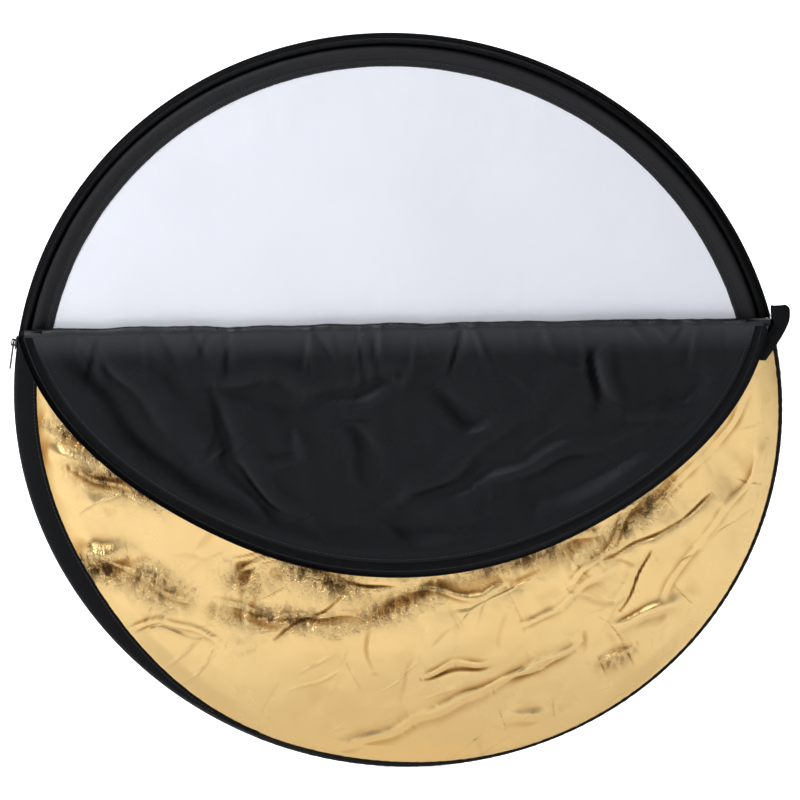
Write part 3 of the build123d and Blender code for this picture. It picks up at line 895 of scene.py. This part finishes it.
def swept(profile, angles, relief=None):
    """A closed outline of (radius, depth) carried round the disc's axis. relief gives, for each angle and
    outline point, how far the point moves away from the outline's middle."""
    profile = np.asarray(profile, float)
    radius = np.broadcast_to(profile[:, 0], (len(angles), len(profile))).copy()
    depth_at = np.broadcast_to(profile[:, 1], radius.shape).copy()
    if relief is not None:
        middle = profile.mean(axis=0)
        away = profile - middle
        away = away / np.maximum(np.linalg.norm(away, axis=1, keepdims=True), 1e-6)
        radius += relief * away[:, 0]
        depth_at += relief * away[:, 1]
    x, z = polar(radius, angles[:, None])
    return np.stack([x, depth_at, z], axis=-1)


def ring_cloth(profile, angles):
    """Each point's place in the cloth: along the ring, and across its outline."""
    profile = np.asarray(profile, float)
    steps = np.linalg.norm(np.diff(profile, axis=0), axis=1)
    across = np.concatenate([[0], np.cumsum(steps)])
    along = np.radians(angles) * profile[:, 0].mean()
    return np.stack(np.broadcast_arrays(along[:, None], across[None, :]), axis=-1)


def smoothed(padded, steps):
    """Points on a smooth curve from the second to the last but one of the points given."""
    t = np.arange(steps)[:, None] / steps
    made = []
    for a, b, c, d in zip(padded, padded[1:], padded[2:], padded[3:]):
        made.append(0.5 * (2 * b + (c - a) * t + (2 * a - 5 * b + 4 * c - d) * t ** 2
                           + (3 * b - a - 3 * c + d) * t ** 3))
    return np.concatenate(made)


def rounded(points, steps):
    """A closed outline smoothed through its points."""
    points = np.asarray(points, float)
    return smoothed(np.concatenate([points[-1:], points, points[:2]]), steps)


def curve_through(points, steps):
    """An open line smoothed through its points."""
    points = np.asarray(points, float)
    padded = np.concatenate([2 * points[:1] - points[1:2], points, 2 * points[-1:] - points[-2:-1]])
    return np.concatenate([smoothed(padded, steps), points[-1:]])


def strip_outline(outer, thickness):
    """The closed outline of a strip: its outer face, and the same line one thickness inside it."""
    outer = np.asarray(outer, float)
    run = np.gradient(outer, axis=0)
    run = run / np.linalg.norm(run, axis=1, keepdims=True)
    inner = outer + thickness * np.stack([run[:, 1], -run[:, 0]], axis=-1)
    return np.concatenate([outer, inner[::-1]])


RING_RADIUS = 400.0         # where lengths along a ring are counted


def every(first, last, spacing, radius=RING_RADIUS):
    """Angles from first to last, a little under spacing millimetres apart along the ring."""
    count = int(math.ceil(math.radians(last - first) * radius / spacing)) + 1
    return np.linspace(first, last, count)


def gathers(angles, waves_along, amount):
    """The small in-and-out of gathered cloth at each angle round a ring."""
    return amount * waves_along(np.radians(angles) * RING_RADIUS)


sleeve_gathers = line_waves(9, 7, 19)
sleeve_slow = line_waves(6, 60, 220)

SLEEVE_OUTLINE = [
    (398.0, 6.6), (397.0, 9.2), (394.0, 10.4), (390.0, 10.0), (386.0, 8.7), (382.5, 7.5), (379.5, 7.9),
    (377.0, 7.6), (375.0, 6.6), (377.0, 5.6), (379.5, 5.4), (382.5, 5.7), (386.0, 4.5), (390.0, 3.2),
    (394.0, 2.8), (397.0, 4.0),
]
sleeve_profile = rounded(SLEEVE_OUTLINE, 2)
sleeve_angles = every(0, 360, 1.9)[:-1]
HEM_RADIUS, HEM_SPREAD = 379, 3.5
TUBE_RADIUS, TUBE_SPREAD = 387, 4.0
hem_weight = np.exp(-((sleeve_profile[:, 0] - HEM_RADIUS) / HEM_SPREAD) ** 2)
tube_weight = np.exp(-((sleeve_profile[:, 0] - TUBE_RADIUS) / TUBE_SPREAD) ** 2)
wobble = gathers(sleeve_angles, sleeve_gathers, 0.28)[:, None] * hem_weight[None, :]
wobble += gathers(sleeve_angles + 0.3, sleeve_gathers, 0.22)[:, None] * tube_weight[None, :]
wobble -= 0.25 * np.abs(gathers(sleeve_angles, sleeve_slow, 1.0))[:, None] * np.ones(len(sleeve_profile))
sleeve = tube("rim_sleeve_cloth", swept(sleeve_profile, sleeve_angles, wobble), SLEEVE,
              ring_cloth(sleeve_profile, sleeve_angles), closed=True)
attach(sleeve, "diffuser_disc", "sleeve_cloth", "rim_sleeve")


# ---- zip tapes ----

tape_gathers = line_waves(8, 9, 26)
tape_slow = line_waves(6, 50, 160)

FRONT_TAPE_LINE = curve_through(
    [(385.3, 12.3), (387.0, 12.9), (390.5, 13.2), (397.0, 13.2), (403.0, 12.8), (407.2, 11.4), (409.8, 8.8),
     (410.7, 6.2), (410.8, 3.8)], 3)
FRONT_TAPE_OUTLINE = strip_outline(FRONT_TAPE_LINE, 0.7)


def tape_relief(angles, outline, amount, flat_depth=7.5):
    """Soft waves in the tape's broad face that fade out at the stiff edge with the coil."""
    soft = smooth((outline[:, 1] - flat_depth) / 4)
    return gathers(angles, tape_gathers, amount)[:, None] * soft[None, :]


def front_tape_points(first, last):
    """The front half of the zip tape, with its sewn edge moved outward where the tape is narrower."""
    angles = every(first, last, 2.0)
    points = swept(FRONT_TAPE_OUTLINE, angles, tape_relief(angles, FRONT_TAPE_OUTLINE, 0.16))
    inner_share = np.clip((407 - FRONT_TAPE_OUTLINE[:, 0]) / 22, 0, 1)
    shift = tape_shift(angles)[:, None] * inner_share[None, :]
    x, z = polar(shift, angles[:, None])
    return angles, points + np.stack([x, np.zeros_like(x), z], axis=-1)


corner = math.degrees(math.asin((FOLD_HEIGHT + 2) / RIM_RADIUS))
lower_angles, lower_points = front_tape_points(180 - corner + 0.6, ZIP_END)
lower_tape = tube("lower_zip_tape", lower_points, TAPE, ring_cloth(FRONT_TAPE_OUTLINE, lower_angles))
attach(lower_tape, "cover", "zip_tape", "zip_tape_front_lower")

flap_angles, flap_points = front_tape_points(corner, 180 - corner)
flap_tape = tube("flap_zip_tape_cloth", hang_points(flap_points), TAPE,
                 ring_cloth(FRONT_TAPE_OUTLINE, flap_angles))
attach(flap_tape, FLAP_BODIES, "zip_tape", "flap_zip_tape", "fold_zip_tape")

BACK_TAPE_LINE = curve_through(
    [(385.2, 1.6), (392.0, 1.6), (397.6, 1.7), (399.0, 3.2), (399.9, 6.2), (402.0, 8.4), (404.6, 8.0),
     (406.1, 5.6), (406.3, 3.0), (407.4, 1.65), (410.8, 1.6)], 3)
BACK_TAPE_OUTLINE = strip_outline(BACK_TAPE_LINE, 0.6)
back_angles = every(ZIP_START, ZIP_END, 2.0)
back_soft = smooth((BACK_TAPE_OUTLINE[:, 1] - 4.5) / 3.5)
back_wobble = gathers(back_angles, tape_gathers, 0.2)[:, None] * back_soft[None, :]
back_wobble -= 0.35 * np.abs(gathers(back_angles, tape_slow, 1.0))[:, None] * back_soft[None, :]
back_tape = tube("back_zip_tape", swept(BACK_TAPE_OUTLINE, back_angles, back_wobble), TAPE,
                 ring_cloth(BACK_TAPE_OUTLINE, back_angles))
attach(back_tape, "cover", "zip_tape", "zip_tape_back")


# ---- zip coils: one continuous spiral of nylon each ----

def circle(around, side, up):
    """Points of a unit circle at each place along a line, in the plane of side and up."""
    return np.cos(around)[None, :, None] * side[:, None] + np.sin(around)[None, :, None] * up[:, None]


COIL_PITCH = 1.9
COIL_STEPS = 9              # points in one turn of the spiral
COIL_HALF_WIDTH = 0.48
WIRE_RADIUS = 0.17
WIRE_SIDES = 5


def coil_points(first, last, middle_depth, half_depth):
    """Loops round the wire of a flattened spiral that follows the rim."""
    turns = int(math.radians(last - first) * COIL_RADIUS / COIL_PITCH)
    phase = np.linspace(0, turns * 2 * math.pi, turns * COIL_STEPS + 1)
    angle = np.radians(np.linspace(first, last, len(phase)))
    radius = COIL_RADIUS + COIL_HALF_WIDTH * np.cos(phase)
    line = np.stack([radius * np.cos(angle), middle_depth + half_depth * np.sin(phase),
                     radius * np.sin(angle)], axis=-1)
    along = np.gradient(line, axis=0)
    along /= np.linalg.norm(along, axis=1, keepdims=True)
    side = np.cross(along, np.array([0.0, 1.0, 0.0]))
    side /= np.linalg.norm(side, axis=1, keepdims=True)
    up = np.cross(side, along)
    around = np.radians(np.arange(WIRE_SIDES) * 360 / WIRE_SIDES)
    return line[:, None] + WIRE_RADIUS * circle(around, side, up)


back_middle = sum(depths("zip_coil_back")) / 2
back_coil = coil_points(ZIP_START + 0.4, ZIP_END - 0.4, back_middle, 0.26)
attach(tube("back_zip_coil", back_coil, COIL), "cover", "zip_coil", "zip_coil_back")

front_middle = sum(depths("zip_coil_front_lower")) / 2
lower_coil = coil_points(180 - corner + 1.4, ZIP_END - 0.4, front_middle, 0.42)
attach(tube("lower_zip_coil", lower_coil, COIL), "cover", "zip_coil", "zip_coil_front_lower")

flap_coil = hang_points(coil_points(corner, 180 - corner, front_middle, 0.42))
attach(tube("flap_zip_spiral", flap_coil, COIL), FLAP_BODIES, "zip_coil", "flap_zip_coil", "fold_zip_coil")


# ---- the diffuser, stretched across the hoop ----

def disc_grid(radius_at, count):
    """A grid of (x, z) over a whole disc, whose radius may change with the angle."""
    def edge(first, last):
        return arc_points(radius_at, first, last, count)
    return patch(edge(135, 45), edge(225, 315), edge(135, 225), edge(45, -45))


DIFFUSER_RADIUS = 380
DIFFUSER_CLOTH = 0.3

diffuser_swell = waves(8, 120, 320)
diffuser_pull = line_waves(10, 14, 60)
grid = disc_grid(constant(DIFFUSER_RADIUS), 150)
radius = np.hypot(grid[..., 0], grid[..., 1])
angle = np.arctan2(grid[..., 1], grid[..., 0])
tension = diffuser_pull(angle * DIFFUSER_RADIUS) * smooth((radius - 300) / 60) * smooth((379 - radius) / 14)
relief = 0.9 * diffuser_swell(grid[..., 0], grid[..., 1]) + 0.25 * tension
depth = DISC_MIDDLE + DIFFUSER_CLOTH / 2 + relief * smooth((378 - radius) / 60)
diffuser = sheet("diffuser_cloth", rise(grid, depth), rise(grid, depth - DIFFUSER_CLOTH), DIFFUSER, grid)
attach(diffuser, "diffuser_disc", "diffuser_cloth", "diffuser_panel")


# ---- the cover's back: silver film outside, white cloth inside ----

BACK_SEWN_DEPTH = 4.4       # how far in from the back the silver film's edge is sewn

back_swell, back_ripple, *back_warps = sheet_waves((8, 100, 280), (12, 30, 80), (5, 60, 140))


def back_radius(angles):
    """The back panels' edge: at the zip tape round the zip, out at the rim where the cover is sewn."""
    zipped = smooth((angles % 360 - ZIP_START + 0.6) / 0.6) * smooth((ZIP_END + 0.6 - angles % 360) / 0.6)
    return SEWN_RADIUS + (SLEEVE_RADIUS - 0.3 - SEWN_RADIUS) * zipped


def back_depth(grid):
    """The silver face's depth: creases reach a little inward and stand a little proud behind."""
    x, z = grid[..., 0], grid[..., 1]
    bent_x, bent_z = bent(x, z, back_warps, 6)
    relief = 0.6 * back_swell(x, z) + 0.1 * back_ripple(x, z)
    state = RNG.bit_generator.state
    relief += random_folds(bent_x, bent_z, 60, (-360, 360, -360, 360), 150, 9.0, 0.8)
    relief += random_folds(bent_x, bent_z, 110, (-370, 370, -370, 370), 55, 5.0, 0.5)
    RNG.bit_generator.state = state
    relief = 1.3 * np.tanh(relief / 1.3)
    radius, angle = np.hypot(x, z), angle_of(x, z)
    sewn = (angle > ZIP_END) | (angle < ZIP_START)
    return relief * smooth((374 - radius) / 50) + BACK_SEWN_DEPTH * sewn_curve(radius) * sewn


grid = disc_grid(back_radius, 190)
depth = back_depth(grid)
# Painted shade: the silver darkens in the valleys of its creases, by how sharply it bends.
silver = sheet("cover_silver_back", rise(grid, depth), rise(grid, depth + CLOTH), SILVER, grid,
               tone=-creasing(depth))
attach(silver, "cover", "silver_foil", "back_silver_panel")

white = sheet("cover_white_lining", rise(grid, depth + CLOTH), rise(grid, depth + 2 * CLOTH), LINING, grid)
attach(white, "cover", "white_cloth", "back_white_lining")


# ---- the sewn rim's binding ----

BINDING_LINE = curve_through(
    [(407.2, 10.9), (408.9, 10.3), (410.2, 8.4), (410.8, 6.0), (410.4, 3.2), (409.0, 1.0), (407.0, 0.3)], 3)
BINDING_OUTLINE = strip_outline(BINDING_LINE, 0.5)
binding_gathers = line_waves(8, 6, 15)
binding_angles = every(ZIP_END - 0.2, 360 + ZIP_START + 0.3, 1.9)
binding_wobble = gathers(binding_angles, binding_gathers, 0.14)[:, None] * np.ones(len(BINDING_OUTLINE))
binding_points = swept(BINDING_OUTLINE, binding_angles, binding_wobble)

# Next to the zip's end the binding's front lip reaches further in.
LIP_REACH, LIP_END, LIP_RUN = 4.8, 292, 34
front_lip = smooth((BINDING_OUTLINE[:, 1] - 8.5) / 2.4)
lip_reach = -LIP_REACH * smooth((LIP_END - binding_angles) / LIP_RUN)[:, None] * front_lip[None, :]
lip_x, lip_z = polar(lip_reach, binding_angles[:, None])
binding_points += np.stack([lip_x, -0.34 * lip_reach, lip_z], axis=-1)
binding = tube("rim_binding", binding_points, TAPE, ring_cloth(BINDING_OUTLINE, binding_angles))
attach(binding, "cover", "zip_tape", "edge_binding")


# ---- stitches ----

STITCH_SIDES = 6
STITCH_LENGTH = 3.1
STITCH_PITCH = 4.2
THREAD_WIDTH = 0.75
STITCH_SHAPE = [(-0.5, 0.25, 0.0), (-0.42, 0.8, 0.6), (-0.15, 1.0, 1.0), (0.15, 1.0, 1.0), (0.42, 0.8, 0.6),
                (0.5, 0.25, 0.0)]      # along (shares of the length), thickness, lift


def stitches(name, places, outward):
    """Separate stitches along a line of places, each a short plump thread that dips into the cloth."""
    along = np.roll(places, -1, 0) - np.roll(places, 1, 0)
    along[0] = places[1] - places[0]
    along[-1] = places[-1] - places[-2]
    along /= np.linalg.norm(along, axis=1, keepdims=True)
    outward = np.broadcast_to(np.asarray(outward, float), places.shape)
    side = np.cross(along, outward)
    side /= np.linalg.norm(side, axis=1, keepdims=True)
    lift = np.cross(side, along)
    around = np.radians(np.arange(STITCH_SIDES) * 360 / STITCH_SIDES)
    loops = []
    for share, thick, raised in STITCH_SHAPE:
        centre = places + along * share * STITCH_LENGTH + lift * (raised - 0.6) * THREAD_WIDTH
        loops.append(centre[:, None] + THREAD_WIDTH * 0.5 * thick * circle(around, side, lift))
    points = np.stack(loops, axis=1)
    per_stitch = len(STITCH_SHAPE) * STITCH_SIDES
    skin = quads(len(STITCH_SHAPE), STITCH_SIDES, loop_columns=True).tolist()
    caps = [list(range(STITCH_SIDES)), list(range(per_stitch - STITCH_SIDES, per_stitch))]
    faces = [[corner_index + number * per_stitch for corner_index in face]
             for number in range(len(places)) for face in skin + caps]
    return piece(name, points, faces, THREAD, np.zeros((points.size // 3, 2)))


def ring_places(radius, depth_at, first, last, shift=None):
    """Where the stitches of a seam round the disc's axis stand. shift moves them outward, by their angle."""
    angles = every(first, last, STITCH_PITCH, radius)
    x, z = polar(radius + (shift(angles) if shift else 0), angles)
    return np.stack([x, np.broadcast_to(depth_at, x.shape), z], axis=-1)


TOWARDS_FRONT, TOWARDS_BACK = (0, 1, 0), (0, -1, 0)

# Rows of stitches: name, body, radius, depth, first and last angle, the way they face, CAD node if any.
SEAMS = [
    ("hoop_channel_stitches", "diffuser_disc", 382.6, 7.75, 0, 359.3, TOWARDS_FRONT, "hoop_channel_thread"),
    ("hoop_channel_stitches_rear", "diffuser_disc", 382.6, 5.45, 0, 359.3, TOWARDS_BACK),
    ("rim_hem_stitches", "diffuser_disc", 377.0, 7.75, 0, 359.3, TOWARDS_FRONT, "rim_hem_thread"),
    ("back_seam_stitches", "cover", 392.0, 1.75, 14, 245, TOWARDS_FRONT, "back_seam_thread"),
    ("back_seam_stitches_rear", "cover", 392.0, -0.1, 14, 245, TOWARDS_BACK),
]
for name, body, radius, depth_at, first, last, facing, *nodes in SEAMS:
    row = ring_places(radius, depth_at, first, last)
    attach(stitches(name, row, facing), body, "black_thread", *nodes)

front_row = ring_places(388.4, 13.15, 169.5, 238, tape_shift)
attach(stitches("front_seam_stitches", front_row, TOWARDS_FRONT), "cover", "black_thread",
       "front_seam_thread")

flap_row = ring_places(HEM - 3.5, 2 * FOLD_DEPTH - FLAP_FRONT + 0.1, corner + 1.5, 178.5 - corner)
attach(stitches("flap_seam_stitches", hang_points(flap_row), TOWARDS_FRONT), FLAP_BODIES, "black_thread",
       "flap_seam_thread")


# ---- the tape's loose end at the right of the fold ----

# The tab's outline, from the lower end upward, as (x, z) steps from the CAD tab's top right corner.
TAB_OUTER = [(-22, -43), (-10, -26), (-1, -11), (4, 0), (5.2, 9), (4.6, 15), (0.5, 18.6)]
TAB_INNER = [(-34, -41), (-30, -25), (-23, -11), (-15.8, 0), (-15.4, 9), (-15.4, 14), (-15, 18.2)]


TAB_STANDOFF, TAB_PLUMP, TAB_THICKNESS, TAB_RIDGE = 2.2, 1.8, 1.4, 0.7


def loose_end():
    """The end of the zip tape, which leaves the flap's edge and stands up past the fold."""
    corner_point = box_mm("zip_tape_tail")[1]
    outer, inner = curve_through(TAB_OUTER, 5), curve_through(TAB_INNER, 5)
    across = np.linspace(0, 1, 22)[None, :, None]
    outline = inner[:, None] * (1 - across) + outer[:, None] * across
    x = corner_point[0] + outline[..., 0]
    z = corner_point[2] + outline[..., 1]
    share = np.broadcast_to(across[..., 0], x.shape)
    plump = TAB_PLUMP * (1 - (2 * share - 1) ** 2)
    coil_ridge = TAB_RIDGE * np.exp(-((share - 0.24) / 0.07) ** 2)
    rippled = plump + coil_ridge + 0.2 * np.sin(z / 3 + 2 * share)
    front = np.stack([x, corner_point[1] + TAB_STANDOFF + rippled, z], axis=-1)
    return sheet("tape_loose_end", front, front - [0, TAB_THICKNESS, 0], TAPE, front[..., [0, 2]])


attach(loose_end(), "cover", "zip_tape", "zip_tape_tail")


# ---- CAD parts that keep their shape ----

FINISHES = {
    "spring_hoop": STEEL, "hoop_ferrule": FERRULE, "hoop_rivets": RIVET, "slider_body": ENAMEL,
    "slider_crown": ENAMEL, "pull_tab": ENAMEL, "zip_bottom_stop": STOP, "zip_top_stop_back": STOP,
    "zip_top_stop_front": STOP,
}
for node, finish in FINISHES.items():
    if node in frame["nodes"]:
        frame["nodes"][node].material_slots[0].material = finish


# ---- floor, light and camera ----

def lamp(name, place, aim, size, power, colour=(1, 1, 1)):
    light = bpy.data.lights.new(name, "AREA")
    light.shape = "DISK"
    light.size = size
    light.energy = power
    light.color = colour
    made = bpy.data.objects.new(name, light)
    made.location = place
    made.rotation_euler = (Vector(aim) - Vector(place)).to_track_quat("-Z", "Y").to_euler()
    bpy.context.scene.collection.objects.link(made)


def studio():
    """A pale floor that looks white to the camera and stays dim for everything it lights."""
    level = -RIM_RADIUS / 1000 - 0.0008
    reach = 60.0
    corners = [(x * reach, y * reach, level) for x, y in ((-1, -1), (1, -1), (1, 1), (-1, 1))]
    mesh = bpy.data.meshes.new("studio_floor")
    mesh.from_pydata(corners, [], [[0, 1, 2, 3]])
    floor = bpy.data.objects.new("studio_floor", mesh)
    bpy.context.scene.collection.objects.link(floor)
    made, nodes, links, shader = new_material("studio_paper")
    set_inputs(shader, Roughness=0.9)
    shader.inputs["Base Color"].default_value = (0.93, 0.93, 0.94, 1)
    shader.inputs["Emission Color"].default_value = (1, 1, 1, 1)
    rays = nodes.new("ShaderNodeLightPath")
    mirrored = combined(nodes, links, "MULTIPLY", rays.outputs["Is Glossy Ray"], 0.15)
    seen = combined(nodes, links, "MAXIMUM", rays.outputs["Is Camera Ray"], mirrored)
    links.new(to_range(nodes, links, seen, 0.06, 0.8), shader.inputs["Emission Strength"])
    mesh.materials.append(made)


def sky():
    """A sky that is bright at the horizon and dim overhead, so that the foil has something to mirror. The
    camera itself sees it white."""
    world = bpy.data.worlds.new("sky")
    world.use_nodes = True
    nodes, links = world.node_tree.nodes, world.node_tree.links
    place = nodes.new("ShaderNodeTexCoord").outputs["Generated"]
    split = nodes.new("ShaderNodeSeparateXYZ")
    links.new(place, split.inputs["Vector"])
    height = to_range(nodes, links, split.outputs["Z"], 0.0, 1.0, -1.0, 1.0)
    colour = ramp(nodes, links, height, (0.0, (0.6,) * 3), (0.50, (0.6,) * 3), (0.57, (0.16,) * 3),
                  (0.80, (0.08,) * 3), (1.0, (0.25,) * 3))
    seen = nodes.new("ShaderNodeLightPath").outputs["Is Camera Ray"]
    links.new(mixed(nodes, links, seen, colour, (1, 1, 1, 1)), nodes["Background"].inputs["Color"])
    bpy.context.scene.world = world


studio()
sky()
lamp("key", (-2.7, -2.0, 2.7), (0, 0, 0), 1.2, 160)
lamp("softbox", (-0.9, -3.1, 1.3), (0, 0, 0), 1.6, 20)
lamp("rear", (0.3, 1.4, 3.0), (0, 2.0, 0), 2.0, 90)

bpy.context.scene.view_settings.view_transform = "Standard"

AZIMUTH, ELEVATION, ROLL = math.radians(4.9), math.radians(18.0), math.radians(-2.45)
DISTANCE, VIEW_WIDTH = 12.0, 0.853      # metres; the width is what the view spans at the disc
SENSOR = 36
SHIFT = 0.003
lens_data = bpy.data.cameras.new("camera")
lens_data.sensor_width = SENSOR
lens_data.lens = SENSOR * DISTANCE / VIEW_WIDTH
lens_data.shift_x = SHIFT
lens_data.shift_y = SHIFT
camera = bpy.data.objects.new("camera", lens_data)
away = Vector((math.sin(AZIMUTH) * math.cos(ELEVATION), -math.cos(AZIMUTH) * math.cos(ELEVATION),
               math.sin(ELEVATION)))
camera.location = away * DISTANCE
turned = (-away).to_track_quat("-Z", "Y").to_matrix() @ Matrix.Rotation(ROLL, 3, "Z")
camera.rotation_euler = turned.to_euler()
bpy.context.scene.collection.objects.link(camera)
bpy.context.scene.camera = camera
